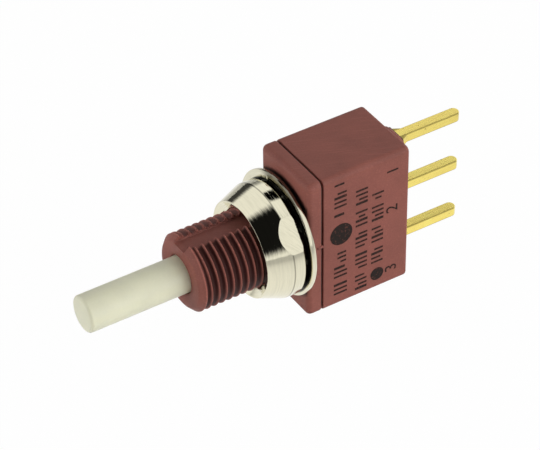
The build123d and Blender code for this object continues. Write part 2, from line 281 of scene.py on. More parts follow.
class SwitchSizes(bpy.types.PropertyGroup):
    """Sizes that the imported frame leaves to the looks."""
    thread_pitch: length("Thread pitch", "Distance from one thread ridge to the next", 0.635)
    thread_depth: length("Thread depth", "Height of the thread ridges", 0.38)
    thread_lead_in: length("Thread lead-in", "Length over which the first ridge rises", 0.5)
    bushing_chamfer: length("Bushing chamfer", "Slope at the front end of the bushing", 0.45)
    keyway_width: length("Keyway width", "Width of the slot along the bushing", 1.5)
    keyway_depth: length("Keyway depth", "Depth of the slot below the ridges", 0.62)
    ridge_end: length("Ridge end", "Length over which a ridge falls away beside the keyway", 0.34)
    corner_radius: length("Corner radius", "Rounding of the long case corners", 0.5)
    flange_radius: length("Flange radius", "Rounding of the flange's front edge", 0.45)
    case_back_radius: length("Case back radius", "Rounding of the case's back edge", 0.25)
    seam_edge: length("Seam edge", "Rounding of both edges at the seam", 0.09)
    boss_radius: length("Boss edge radius", "Rounding of the raised pad's edge", 0.45)
    nut_front_radius: length("Nut front radius", "Radius of the nut's narrow end", 3.95)
    nut_land: length("Nut land", "Width of the bright ring at the nut's narrow end", 0.1)
    nut_sink: length("Nut sink", "Depth of the sunk mouth of the nut", 0.5)
    nut_flats: length("Nut flats", "Distance across the two wrench flats", 8.94)
    nut_flats_angle: turn("Nut flats angle", "Turn of the flats about the bushing", 38)
    metal_edge: length("Metal edge", "Rounding of the turned and stamped edges", 0.05)
    washer_ring: length("Washer ring", "Thickness of the washer's ring between its teeth", 0.54)
    washer_roll: length("Washer edge roll", "Rounding of the washer's stamped back edge", 0.34)
    teeth: IntProperty(name="Washer teeth", description="Number of teeth", default=10, min=3)
    tooth_twist: turn("Tooth twist", "Twist of each washer tooth", 28)
    tip_radius: length("Plunger tip radius", "Rounding of the plunger's free end", 0.24)
    pin_edge: length("Pin edge", "Rounding of the pins' sheared edges", 0.08)
    bar_width: length("Print stroke", "Width of a printed bar", 0.17)
    bar_step: length("Print step", "Distance between printed bars", 0.42)


class SwitchColours(bpy.types.PropertyGroup):
    """Colours of the pieces."""
    moulding: colour("Moulding", "Maroon plastic of the flange and the case", 136, 81, 71)
    ink: colour("Ink", "Print on the case", 38, 29, 26)
    ivory: colour("Ivory", "Plunger", 222, 221, 194)
    nickel: colour("Nickel", "Nut and washer", 231, 226, 201)
    gold: colour("Gold", "Pins", 255, 232, 128)
    rubber: colour("Rubber", "Gasket and seal ring", 34, 28, 27)
    wire: colour("Spring wire", "Drawn wire of the springs", 205, 202, 196)
    steel: colour("Sheet steel", "Spring plate", 192, 190, 187)
    natural: colour("Natural plastic", "Driver", 218, 214, 204)
    copper_alloy: colour("Copper alloy", "Rocker strip", 226, 178, 118)
    silver: colour("Silver", "Contact bars", 236, 234, 228)
    resin: colour("Resin", "Potting round the pins", 92, 52, 48)


class Flow:
    """A value on its way between nodes; arithmetic on it adds Math nodes."""

    def __init__(self, nodes, socket):
        self.nodes = nodes
        self.socket = socket

    def __add__(self, other):
        return self.nodes.math("ADD", self, other)

    __radd__ = __add__

    def __sub__(self, other):
        return self.nodes.math("SUBTRACT", self, other)

    def __rsub__(self, other):
        return self.nodes.math("SUBTRACT", other, self)

    def __mul__(self, other):
        return self.nodes.math("MULTIPLY", self, other)

    __rmul__ = __mul__

    def __abs__(self):
        return self.nodes.math("ABSOLUTE", self)


class Nodes:
    """A node tree that shading is written into."""

    def __init__(self, tree):
        self.tree = tree

    def node(self, kind, settings, sockets, output=0):
        """Any node: its settings are set first, then the values or links of its sockets."""
        node = self.tree.nodes.new("ShaderNode" + kind)
        for name, value in settings.items():
            setattr(node, name, value)
        for name, value in sockets.items():
            if isinstance(value, Flow):
                self.tree.links.new(value.socket, node.inputs[name])
            else:
                node.inputs[name].default_value = value
        return Flow(self, node.outputs[output]) if node.outputs else None

    def math(self, operation, *values):
        return self.node("Math", {"operation": operation}, dict(enumerate(values)))

    def measure(self, operation, first, second=(0, 0, 0)):
        """A number worked out from one or two vectors."""
        return self.node("VectorMath", {"operation": operation}, {0: first, 1: second}, "Value")

    def place(self, scale=(1, 1, 1), rotation=(0, 0, 0)):
        """The piece's own coordinates, in millimetres, turned and stretched."""
        spot = self.node("TexCoord", {}, {}, "Object")
        if any(rotation):
            spot = self.node("Mapping", {}, {"Vector": spot, "Rotation": rotation})
        return self.node("Mapping", {}, {"Vector": spot, "Scale": [share / MM for share in scale]})

    def split(self, vector):
        """The three parts of a vector."""
        node = self.node("SeparateXYZ", {}, {0: vector}).socket.node
        return [Flow(self, socket) for socket in node.outputs]

    def about_y(self):
        """The places along X, Y and Z, and the radius about Y, in millimetres."""
        across, along, up = self.split(self.place())
        return across, along, up, self.math("SQRT", across * across + up * up)

    def noise(self, vector, scale, detail=2.0, roughness=0.5):
        return self.node("TexNoise", {}, {"Vector": vector, "Scale": scale, "Detail": detail,
                                          "Roughness": roughness})

    def ramp(self, value, low, high, start=0.0, end=1.0):
        """A smooth step from start to end as the value goes from low to high."""
        return self.node("MapRange", {"interpolation_type": "SMOOTHSTEP"},
                         {0: value, 1: low, 2: high, 3: start, 4: end})

    def blend(self, share, first, second):
        """One colour laid over another by a share from 0 to 1."""
        return self.node("Mix", {"data_type": "RGBA"}, {0: share, 6: first, 7: second}, 2)

    def shade(self, tint, amount):
        """A colour made darker or lighter by a factor that varies."""
        return self.node("VectorMath", {"operation": "SCALE"}, {0: tint[:3], "Scale": amount})


class Finish(Nodes):
    """A material with one shader."""

    def __init__(self, name, **fixed):
        self.material = bpy.data.materials.new(name)
        self.material.use_nodes = True
        super().__init__(self.material.node_tree)
        self.shader = self.tree.nodes["Principled BSDF"]
        for socket, value in fixed.items():
            self.shader.inputs[socket.replace("_", " ")].default_value = value

    def done(self, tint, roughness, height=None, strength=0.0, distance=0.02):
        """Link what varies over the surface, with relief up to a distance in millimetres."""
        varying = {"Base Color": tint, "Roughness": roughness}
        if height is not None:
            varying["Normal"] = self.node("Bump", {}, {"Height": height, "Strength": strength,
                                                       "Distance": distance * MM})
        for socket, flow in varying.items():
            self.tree.links.new(flow.socket, self.shader.inputs[socket])
        return self.material


def scaled(tint, share):
    """A colour made darker or lighter by a plain number."""
    return (*(min(1.0, part * share) for part in tint[:3]), 1.0)


def thread_shades(finish, base, tint):
    """Painted crest highlight, pale nicks, and painted shade in grooves and behind the nut."""
    across, along, up, radius = finish.about_y()
    on_bushing = finish.ramp(along, -0.02, 0.0, 1.0, 0.0) * finish.ramp(radius, *ON_BUSHING)
    # The crests get a painted highlight, and the nicks on them are paler still
    crest = finish.ramp(radius, *CREST) * on_bushing
    nick = finish.ramp(finish.noise(finish.place(), 2.6, 2, 0.6), 0.62, 0.68) * crest
    in_key = finish.ramp(abs(across), 1.0, 0.8) * finish.ramp(up, 2.3, 2.4)
    far_side = finish.ramp(across, -0.5, -1.0) * finish.ramp(up, 1.2, 1.8)
    # Painted shade in the grooves, weaker in the keyway and on the far side, fading out at the front
    groove_shade = finish.ramp(radius, *GROOVE, 1.0, 0.0) * on_bushing
    groove_shade = groove_shade * (1 - 0.75 * in_key) * (1 - 0.6 * far_side)
    groove_shade = groove_shade * finish.ramp(along, BUSHING_FRONT + 0.25, BUSHING_FRONT + 0.6)
    # Painted shade on the housing from the nut back to the flange face, out to past the washer's rim
    shade_behind_nut = finish.ramp(along, NUT_BACK - 0.3, NUT_BACK) * finish.ramp(along, 0.12, 0.02)
    shade_behind_nut = shade_behind_nut * finish.ramp(radius, *BEHIND_NUT)
    base = finish.blend(crest * 0.5, base, scaled(tint, 1.7))
    base = finish.blend(nick * 0.6, base, scaled(tint, 3.0))
    base = finish.blend(groove_shade * 0.92, base, GROOVE_PAINTED_SHADE)
    return finish.blend(shade_behind_nut * 0.9, base, BEHIND_NUT_PAINTED_SHADE)


def moulding_finish(name, tint, thread=False):
    """Maroon plastic with fine grain, faint clouding and hair scratches, threaded or not."""
    finish = Finish(name, Specular_IOR_Level=0.22)
    clouds = finish.noise(finish.place(), 0.45, 3)
    grain = finish.noise(finish.place(), 9.0, 2, 0.7)
    hairs = finish.noise(finish.place((14, 0.35, 14), (0, 0, radians(24))), 1.0, 2)
    hair = finish.ramp(hairs, 0.57, 0.70)
    tone = 0.62 + 0.40 * clouds + 0.36 * grain + 0.20 * hair
    base = finish.shade(tint, tone)
    if thread:
        base = thread_shades(finish, base, tint)
    return finish.done(base, 0.47 + 0.16 * clouds, 0.6 * grain + 0.4 * hair, 0.35, 0.03)


def ink_finish(name, tint, ground):
    """Printed ink that is thin and broken in places."""
    finish = Finish(name, Specular_IOR_Level=0.12)
    specks = finish.noise(finish.place(), 5.5, 3, 0.75)
    thin = finish.ramp(specks, 0.54, 0.68, 0.0, 0.5)
    return finish.done(finish.blend(thin, tint, ground), 0.5 + 0.2 * specks)


def ivory_finish(name, tint):
    """Smooth pale plastic that lets a little light in, with a faint cloud and a fine grain."""
    finish = Finish(name, Subsurface_Weight=0.12, Subsurface_Scale=0.0006,
                    Subsurface_Radius=(1.0, 0.85, 0.6), Specular_IOR_Level=0.5)
    clouds = finish.noise(finish.place(), 0.5, 3)
    grain = finish.noise(finish.place(), 6.0, 2)
    tone = 0.86 + 0.20 * clouds + 0.05 * grain
    return finish.done(finish.shade(tint, tone), 0.28 + 0.16 * clouds, grain, 0.12)


def plated_finish(name, tint, shade_span, flats=0.0, flats_angle=0.0):
    """Bright plating over turned metal: rings about the axis.

    With flats it has slanted lines on them and painted shade at the shoulder; without, a painted
    dark reflection on an arc of the rim. It is rougher, with painted shade, where its last
    argument says so: along Y or by radius, and the two places that the shade comes in between.
    """
    finish = Finish(name, Metallic=1.0)
    across, along, up, radius = finish.about_y()
    angle = finish.math("ARCTAN2", up, across)
    section = finish.node("CombineXYZ", {}, {0: radius * 7.5, 1: along * 7.5, 2: angle * 2.2})
    rings = finish.noise(section, 1.0, 2, 0.6)
    coarse = finish.node("CombineXYZ", {}, {0: radius * 2.2, 1: along * 2.2, 2: angle * 1.1})
    streaks = finish.noise(coarse, 1.0, 2)
    lines = rings
    if flats:
        side = across * cos(flats_angle) + up * sin(flats_angle)
        on_flat = finish.ramp(abs(side), flats / 2 - 0.012, flats / 2 - 0.004)
        across_flat = up * cos(flats_angle) - across * sin(flats_angle)
        slanted = finish.node("CombineXYZ", {}, {0: (along + across_flat * 0.8) * 6.0,
                                                 1: (along - across_flat) * 0.5})
        cut_lines = finish.noise(slanted, 1.0, 2, 0.6)
        lines = rings + on_flat * (cut_lines - rings)
        # Painted shade along the shoulder where the cone meets the rim, off the flats
        shoulder_shade = finish.ramp(abs(along - NUT_RIM_FRONT), 0.03, 0.08, 1.0, 0.0) * (1 - on_flat)
    clouds = finish.noise(finish.place(), 0.9, 2)
    stain = finish.ramp(finish.noise(finish.place(), 3.2, 3, 0.7), 0.66, 0.76)
    score = finish.ramp(lines, 0.30, 0.62)
    tone = 0.88 + 0.07 * score + 0.08 * streaks
    tinted = finish.blend(stain * 0.25, finish.shade(tint, tone), scaled(tint, 0.35))
    if flats:
        tinted = finish.blend(shoulder_shade * 0.6, tinted, scaled(tint, 0.2))
    else:
        # Painted dark reflection of the housing on the upper arc of the washer's rim
        starts = finish.ramp(angle, radians(52), radians(66))
        ends = finish.ramp(angle, radians(120), radians(100))
        darkened = starts * ends * finish.ramp(radius, WASHER_R - 0.25, WASHER_R - 0.15)
        tinted = finish.blend(darkened * 0.78, tinted, RIM_PAINTED_REFLECTION)
    # Painted shade, with more roughness, where the part sits hidden between other parts
    measure, start, end = shade_span
    crevice_shade = finish.ramp({"radius": radius, "along": along}[measure], start, end)
    tinted = finish.blend(crevice_shade * 0.94, tinted, CREVICE_PAINTED_SHADE)
    return finish.done(tinted, 0.01 + 0.05 * clouds + 0.06 * lines + 0.3 * crevice_shade, lines, 0.7)


def gold_finish(name, tint):
    """Gold plate over sheared strip: drag lines, scratches, dark specks, painted shade on long edges.
    """
    finish = Finish(name, Metallic=1.0)
    drag = finish.noise(finish.place((11, 0.8, 11)), 1.0, 3, 0.6)
    clouds = finish.noise(finish.place(), 0.8, 2)
    slanted = finish.place((9, 0.9, 9), (radians(20), 0, radians(38)))
    scratch = finish.ramp(finish.noise(slanted, 1.0, 2), 0.66, 0.74)
    specks = finish.ramp(finish.noise(finish.place(), 4.0, 3, 0.7), 0.63, 0.70)
    tone = 0.72 + 0.30 * drag + 0.26 * clouds
    darkened = finish.blend(specks * 0.7, finish.shade(tint, tone), scaled(tint, 0.16))
    darkened = finish.blend(scratch * 0.35, darkened, scaled(tint, 0.5))
    across, _, up = finish.split(finish.place())
    # Painted shade along the long edges of the pins
    off_middle = finish.math("MINIMUM", abs(up), abs(abs(up) - PIN_PITCH))
    edge = finish.ramp(off_middle, *PIN_EDGE_Z) * finish.ramp(abs(across), *PIN_EDGE_X)
    darkened = finish.blend(edge * 0.65, darkened, scaled(tint, 0.14))
    return finish.done(darkened, 0.12 + 0.12 * clouds + 0.10 * drag, drag + 0.6 * scratch, 0.22)


def metal_finish(name, tint, roughness, stretch=(1, 1, 1)):
    """Plain worked metal with drawn or rolled lines."""
    finish = Finish(name, Metallic=1.0)
    lines = finish.noise(finish.place(stretch), 4.0, 3, 0.6)
    clouds = finish.noise(finish.place(), 0.8, 2)
    tone = 0.86 + 0.16 * lines + 0.08 * clouds
    return finish.done(finish.shade(tint, tone), roughness + 0.15 * lines, lines, 0.2)


def plain_finish(name, tint, roughness, grain_scale, relief):
    """Plain plastic, rubber or resin with its grain."""
    finish = Finish(name)
    grain = finish.noise(finish.place(), grain_scale, 3, 0.6)
    clouds = finish.noise(finish.place(), 0.6, 2)
    tone = 0.88 + 0.14 * clouds + 0.10 * grain
    return finish.done(finish.shade(tint, tone), roughness + 0.12 * grain, grain, relief)


def finish_for(name, context):
    """A finish made from the colour settings when it is first asked for.

    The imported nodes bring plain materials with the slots' names, so a finish has a name of its own.
    """
    title = f"{name}_finish"
    if title in bpy.data.materials:
        return bpy.data.materials[title]
    tints = context.scene.switch_colours
    sizes = context.scene.switch_sizes
    finishes = {
        "housing_moulding": (moulding_finish, "moulding", True),
        "case_moulding": (moulding_finish, "moulding"),
        "ink": (ink_finish, "ink", scaled(tints.moulding, 0.9)),
        "plunger_moulding": (ivory_finish, "ivory"),
        # The nut's back face and the washer's inner ring get painted shade
        "nickel_nut": (plated_finish, "nickel", ("along", NUT_BACK - 0.02, NUT_BACK - 0.005),
                       sizes.nut_flats / MM, sizes.nut_flats_angle),
        "nickel_washer": (plated_finish, "nickel", ("radius", *UNDER_RING)),
        "gold_plate": (gold_finish, "gold"),
        "seal_rubber": (plain_finish, "rubber", 0.5, 8.0, 0.2),
        "potting_resin": (plain_finish, "resin", 0.2, 2.0, 0.1),
        "driver_moulding": (plain_finish, "natural", 0.4, 6.0, 0.15),
        "spring_wire": (metal_finish, "wire", 0.25),
        "plate_steel": (metal_finish, "steel", 0.28, (0.3, 1, 3)),
        "contact_strip": (metal_finish, "copper_alloy", 0.26, (3, 1, 0.3)),
        "silver_contact": (metal_finish, "silver", 0.2, (0.4, 1, 2)),
    }
    maker, colour_name, *details = finishes[name]
    return maker(title, tuple(getattr(tints, colour_name)), *details)


def box(low, high):
    """A closed box between two corners."""
    shape = bmesh.new()
    bmesh.ops.create_cube(shape, size=1)
    low, high = Vector(low), Vector(high)
    bmesh.ops.scale(shape, vec=high - low, verts=shape.verts)
    bmesh.ops.translate(shape, vec=(low + high) / 2, verts=shape.verts)
    return shape


def bar(width, height, front, back, z=0.0):
    """A box along Y, centred on x and on the given z."""
    return box((-width / 2, front, z - height / 2), (width / 2, back, z + height / 2))


def soften(shape, test, width, segments):
    """Round each edge that the test picks."""
    edges = [edge for edge in shape.edges if test(edge)]
    if not edges:
        raise RuntimeError("no edge was found to round")
    bmesh.ops.bevel(shape, geom=edges, offset=width, offset_type="OFFSET", segments=segments,
                    profile=0.5, affect="EDGES", clamp_overlap=True, material=-1)
    return shape


def every_edge(edge):
    return True


def along_y(edge):
    """Whether an edge runs along Y."""
    first, second = (vert.co for vert in edge.verts)
    return abs(first.x - second.x) < NEAR and abs(first.z - second.z) < NEAR


def at_y(place):
    """A test for edges that lie in the plane at that y."""
    return lambda edge: all(abs(vert.co.y - place) < NEAR for vert in edge.verts)


def ring_at(radius, place):
    """A test for the edges of a turned ring."""
    return lambda edge: all(abs(hypot(vert.co.x, vert.co.z) - radius) < RING_NEAR
                            and abs(vert.co.y - place) < RING_NEAR for vert in edge.verts)


def rounded_bar(width, height, corner, front, back, z=0.0, segments=8):
    """A bar along Y whose four long corners are rounded."""
    return soften(bar(width, height, front, back, z), along_y, corner, segments)


def turned(points, steps, closed=False):
    """A shape turned about Y from (radius, y) points; one that isn't closed ends on the axis."""
    shape = bmesh.new()
    verts = [shape.verts.new((radius, y, 0)) for radius, y in points]
    pairs = list(zip(verts, verts[1:]))
    if closed:
        pairs.append((verts[-1], verts[0]))
    edges = [shape.edges.new(pair) for pair in pairs]
    bmesh.ops.spin(shape, geom=verts + edges, cent=(0, 0, 0), axis=(0, 1, 0), angle=2 * pi,
                   steps=steps, use_merge=True)
    bmesh.ops.remove_doubles(shape, verts=shape.verts, dist=WELD)
    bmesh.ops.recalc_face_normals(shape, faces=shape.faces)
    return shape


def whole(shape):
    """Everything that a shape is made of."""
    return shape.verts[:] + shape.edges[:] + shape.faces[:]


def wind(shape, pitch, steps, turns):
    """Wind a profile round Y as a right-handed screw: one turn is spun, then repeated."""
    bmesh.ops.spin(shape, geom=whole(shape), cent=(0, 0, 0), axis=(0, 1, 0),
                   dvec=(0, pitch / steps, 0), angle=2 * pi, steps=steps)
    one_turn = whole(shape)
    for k in range(1, turns):
        copied = bmesh.ops.duplicate(shape, geom=one_turn)["geom"]
        verts = [item for item in copied if isinstance(item, bmesh.types.BMVert)]
        bmesh.ops.translate(shape, vec=(0, k * pitch, 0), verts=verts)
    bmesh.ops.remove_doubles(shape, verts=shape.verts, dist=SCREW_WELD)


def trim(shape, place, outward):
    """Cut off what lies past a plane, and leave the cut open."""
    bmesh.ops.bisect_plane(shape, geom=whole(shape), plane_co=place, plane_no=outward,
                           clear_outer=True)


def close_ends(shape):
    """Fill the open ends and turn every face outwards."""
    edges = [edge for edge in shape.edges if edge.is_boundary]
    filled = bmesh.ops.holes_fill(shape, edges=edges, sides=0)["faces"]
    bmesh.ops.recalc_face_normals(shape, faces=shape.faces)
    if not filled:
        raise RuntimeError("an open end could not be closed")


def mesh_of(name, shape):
    """A mesh made of a shape, which is used up."""
    mesh = bpy.data.meshes.new(name)
    shape.to_mesh(mesh)
    shape.free()
    return mesh


def in_scene(name, data):
    """A new object of the scene."""
    item = bpy.data.objects.new(name, data)
    bpy.context.scene.collection.objects.link(item)
    return item


def merge(first, second):
    """Put a second shape in the same mesh as the first."""
    holder = mesh_of("holder", second)
    first.from_mesh(holder)
    bpy.data.meshes.remove(holder)


def combine(base, tool, operation):
    """Join, cut or intersect two closed shapes; both are used up."""
    holders = []
    for shape in (base, tool):
        bmesh.ops.recalc_face_normals(shape, faces=shape.faces)
        holders.append(in_scene("holder", mesh_of("holder", shape)))
    modifier = holders[0].modifiers.new("combine", "BOOLEAN")
    modifier.operation = operation
    modifier.solver = "MANIFOLD"
    modifier.object = holders[1]
    result = bmesh.new()
    result.from_object(holders[0], bpy.context.evaluated_depsgraph_get())
    for holder in holders:
        mesh = holder.data
        bpy.data.objects.remove(holder)
        bpy.data.meshes.remove(mesh)
    if not result.faces:
        raise RuntimeError("two shapes could not be combined")
    return result


def join(base, tool):
    return combine(base, tool, "UNION")


def cut(base, tool):
    return combine(base, tool, "DIFFERENCE")


def copy_of(node):
    """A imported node's shape in millimetres, with its loose triangles merged into whole faces."""
    shape = bmesh.new()
    shape.from_mesh(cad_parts[node].data)
    bmesh.ops.scale(shape, vec=(1 / MM,) * 3, verts=shape.verts)
    bmesh.ops.remove_doubles(shape, verts=shape.verts, dist=PACKED_WELD)
    bmesh.ops.dissolve_limit(shape, angle_limit=radians(0.5), verts=shape.verts,
                             edges=shape.edges)
    return shape


def finish_piece(name, shape, material, body, nodes=(), sharp=35.0):
    """Turn a shape in millimetres into a finished piece that rides on a body.

    Edges sharper than sharp, in degrees, stay crisp in the shading.
    """
    bmesh.ops.remove_doubles(shape, verts=shape.verts, dist=WELD)
    bmesh.ops.scale(shape, vec=(MM,) * 3, verts=shape.verts)
    for face in shape.faces:
        face.smooth = True
    for edge in shape.edges:
        edge.smooth = edge.calc_face_angle(0.0) < radians(sharp)
    mesh = mesh_of(name, shape)
    mesh.materials.append(finish_for(material, bpy.context))
    piece = in_scene(name, mesh)
    weights = piece.modifiers.new("even_shading", "WEIGHTED_NORMAL")
    weights.keep_sharp = True
    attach(piece, body)
    if nodes:
        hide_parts(*nodes)
    return piece


def clamped(value):
    return min(max(value, 0.0), 1.0)


def thread_rod(sizes):
    """A round bar with a right-handed thread, whose ridges fall away beside the keyway."""
    pitch = sizes.thread_pitch / MM
    depth = sizes.thread_depth / MM
    crest = THREAD_R - CREST_GAP
    root = crest - depth
    front = BUSHING_FRONT - 2 * pitch
    shape = bmesh.new()
    verts = []
    for k in range(RIDGE_POINTS + 1):
        share = k / RIDGE_POINTS
        height = (0.5 - 0.5 * cos(2 * pi * share)) ** RIDGE_SHARPNESS
        verts.append(shape.verts.new((root + depth * height, front + share * pitch, 0)))
    for pair in zip(verts, verts[1:]):
        shape.edges.new(pair)
    wind(shape, pitch, THREAD_STEPS, int((WOUND_TO - front) / pitch) + 2)
    half_key = sizes.keyway_width / MM / 2
    fall = sizes.ridge_end / MM
    lead = sizes.thread_lead_in / MM
    start = BUSHING_FRONT + sizes.bushing_chamfer / MM - LEAD_SETBACK
    for vert in shape.verts:
        radius = hypot(vert.co.x, vert.co.z)
        rise = clamped((vert.co.y - start) / lead)
        rise = rise * rise * (3 - 2 * rise)
        wanted = crest - (crest - radius) * rise
        if vert.co.z > 0 and vert.co.y > start:
            beside = clamped((abs(vert.co.x) - half_key) / fall)
            keep = sqrt(1 - (1 - beside) ** 2)
            wanted = root + (wanted - root) * (1 - rise + rise * keep)
        vert.co.x *= wanted / radius
        vert.co.z *= wanted / radius
    trim(shape, (0, BUSHING_FRONT - OVERLAP, 0), (0, -1, 0))
    trim(shape, (0, THREAD_BACK, 0), (0, 1, 0))
    close_ends(shape)
    return shape


def housing_shape(sizes):
    """Flange, spigot and threaded bushing in one moulding."""
    corner = sizes.corner_radius / MM
    flange = rounded_bar(2 * HALF_W, 2 * HALF_H, corner, 0, GASKET_FRONT)
    soften(flange, at_y(0), sizes.flange_radius / MM, 7)
    soften(flange, at_y(GASKET_FRONT), sizes.seam_edge / MM, 2)
    inside_w = 2 * (HALF_W - WALL - SPIGOT_GAP)
    inside_h = 2 * (HALF_H - WALL - SPIGOT_GAP)
    spigot = rounded_bar(inside_w, inside_h, CAVITY_R, GASKET_FRONT - OVERLAP, SPIGOT_BACK,
                         segments=4)
    body = join(flange, spigot)
    narrow = THREAD_R - sizes.bushing_chamfer / MM
    wide = THREAD_R + BLANK_OVER
    chamfer_end = BUSHING_FRONT + sizes.bushing_chamfer / MM + BLANK_OVER
    blank = turned([(0, BUSHING_FRONT), (narrow, BUSHING_FRONT), (wide, chamfer_end),
                    (wide, BLANK_BACK), (0, BLANK_BACK)], ROD_STEPS)
    soften(blank, ring_at(narrow, BUSHING_FRONT), BUSHING_EDGE, 3)
    threaded = combine(blank, thread_rod(sizes), "INTERSECT")
    half_key = sizes.keyway_width / MM / 2
    key_floor = THREAD_R - sizes.keyway_depth / MM
    keyway = box((-half_key, BUSHING_FRONT - WIDE_OVERRUN, key_floor),
                 (half_key, 0, THREAD_R + WIDE_OVERRUN))
    soften(keyway, lambda edge: along_y(edge) and edge.verts[0].co.z < THREAD_R, BUSHING_EDGE, 3)
    body = join(body, cut(threaded, keyway))
    before, behind = BUSHING_FRONT - OVERRUN, SPIGOT_BACK + OVERRUN
    bore = turned([(0, before), (LIP_HOLE_R + OVERRUN + MOUTH_CHAMFER, before),
                   (LIP_HOLE_R, BUSHING_FRONT + MOUTH_CHAMFER), (LIP_HOLE_R, LIP_BACK),
                   (BORE_R, LIP_BACK), (BORE_R, behind), (0, behind)], BORE_STEPS)
    body = cut(body, bore)
    tick = box((HALF_W - TICK_SINK, TICK_FRONT, TICK_LOW),
               (HALF_W + TICK_RISE, CASE_FRONT - TICK_GAP, TICK_HIGH))
    soften(tick, every_edge, TICK_EDGE, 2)
    return join(body, tick)


def case_shape(sizes):
    """Deep cup with ledges, the raised pad, and a well and a slot for each pin."""
    shell = rounded_bar(2 * HALF_W, 2 * HALF_H, sizes.corner_radius / MM, CASE_FRONT, CASE_BACK)
    soften(shell, at_y(CASE_BACK), sizes.case_back_radius / MM, 7)
    soften(shell, at_y(CASE_FRONT), sizes.seam_edge / MM, 2)
    boss = rounded_bar(BOSS_W, BOSS_H, BOSS_R, CASE_BACK - BOSS_OVERLAP, BOSS_BACK, segments=14)
    soften(boss, at_y(BOSS_BACK), sizes.boss_radius / MM, 6)
    shell = join(shell, boss)
    cavity_w = 2 * (HALF_W - WALL)
    cavity_h = 2 * (HALF_H - WALL)
    cavity = rounded_bar(cavity_w, cavity_h, CAVITY_R, CASE_FRONT - WIDE_OVERRUN, CAVITY_BACK,
                         segments=4)
    ledge_h = cavity_h - 2 * LEDGE_W
    for side in (-1, 1):
        edge_z = side * ledge_h / 2
        far_z = side * (cavity_h / 2 + WIDE_OVERRUN)
        ledge = box((-cavity_w, LEDGE_FRONT, min(edge_z, far_z)),
                    (cavity_w, CAVITY_BACK + WIDE_OVERRUN, max(edge_z, far_z)))
        cavity = cut(cavity, ledge)
    shell = cut(shell, cavity)
    behind = BOSS_BACK + OVERRUN
    for z in PIN_ROW:
        shell = cut(shell, bar(NECK_SLOT_W, NECK_SLOT_H, CAVITY_BACK - OVERRUN, behind, z))
        shell = cut(shell, rounded_bar(WELL_W, WELL_H, WELL_R, WELL_FLOOR, behind, z, 4))
    return shell


def nut_shape(sizes):
    """Round conical nut with a sunk mouth and two wrench flats."""
    narrow = sizes.nut_front_radius / MM
    sunk = narrow - sizes.nut_land / MM
    shape = turned([(NUT_BORE_R, NUT_BACK), (NUT_R - NUT_CHAMFER, NUT_BACK),
                    (NUT_R, NUT_BACK - NUT_CHAMFER), (NUT_R, NUT_RIM_FRONT), (narrow, NUT_FRONT),
                    (sunk, NUT_FRONT), (NUT_BORE_R, NUT_FRONT + sizes.nut_sink / MM)],
                   METAL_STEPS, closed=True)
    edge = sizes.metal_edge / MM
    soften(shape, ring_at(NUT_R, NUT_RIM_FRONT), 2 * edge, 4)
    soften(shape, ring_at(narrow, NUT_FRONT), 0.7 * edge, 3)
    soften(shape, ring_at(sunk, NUT_FRONT), 0.5 * edge, 2)
    soften(shape, ring_at(NUT_R, NUT_BACK - NUT_CHAMFER), 0.6 * edge, 3)
    half = sizes.nut_flats / MM / 2
    outward = Vector((cos(sizes.nut_flats_angle), 0, sin(sizes.nut_flats_angle)))
    for normal in (outward, -outward):
        trim(shape, normal * half, normal)
        close_ends(shape)
    return shape


def washer_shape(sizes):
    """Stamped ring with twisted teeth on its inside."""
    edge = sizes.metal_edge / MM
    front = WASHER_BACK - sizes.washer_ring / MM
    ring = turned([(RING_R, front), (WASHER_R, front), (WASHER_R, WASHER_BACK),
                   (RING_R, WASHER_BACK)], METAL_STEPS, closed=True)
    soften(ring, ring_at(WASHER_R, front), 0.8 * edge, 3)
    soften(ring, ring_at(WASHER_R, WASHER_BACK), sizes.washer_roll / MM, 7)
    soften(ring, ring_at(RING_R, front), edge, 2)
    middle_y = (WASHER_FRONT + WASHER_BACK) / 2
    for k in range(sizes.teeth):
        tooth = box((TOOTH_TIP_R, -TOOTH_T / 2, -TOOTH_W / 2),
                    (TOOTH_ROOT_R, TOOTH_T / 2, TOOTH_W / 2))
        soften(tooth, every_edge, edge, 2)
        place = (Matrix.Rotation(2 * pi * k / sizes.teeth, 4, "Y")
                 @ Matrix.Translation((0, middle_y, 0))
                 @ Matrix.Rotation(sizes.tooth_twist, 4, "X"))
        bmesh.ops.transform(tooth, matrix=place, verts=tooth.verts)
        ring = join(ring, tooth)
    bmesh.ops.translate(ring, vec=(WASHER_MIDDLE_X, 0, WASHER_MIDDLE_Z), verts=ring.verts)
    return ring


def plunger_shape(sizes):
    """Round push rod with a grooved collar, and a square hollow stem behind it."""
    groove_front, groove_back = GROOVE_MIDDLE - GROOVE_HALF, GROOVE_MIDDLE + GROOVE_HALF
    shape = turned([(0, PLUNGER_FRONT), (SHAFT_R, PLUNGER_FRONT), (SHAFT_R, COLLAR_FRONT),
                    (COLLAR_R, COLLAR_FRONT), (COLLAR_R, groove_front),
                    (GROOVE_FLOOR_R, groove_front), (GROOVE_FLOOR_R, groove_back),
                    (COLLAR_R, groove_back), (COLLAR_R, COLLAR_BACK), (0, COLLAR_BACK)], ROD_STEPS)
    soften(shape, ring_at(SHAFT_R, PLUNGER_FRONT), sizes.tip_radius / MM, 5)
    stem = rounded_bar(STEM_W, STEM_W, STEM_CORNER_R, COLLAR_BACK - OVERLAP, STEM_BACK,
                       segments=3)
    socket = rounded_bar(SOCKET_W, SOCKET_W, STEM_CORNER_R, SOCKET_FRONT, STEM_BACK + OVERRUN,
                         segments=3)
    return cut(join(shape, stem), socket)


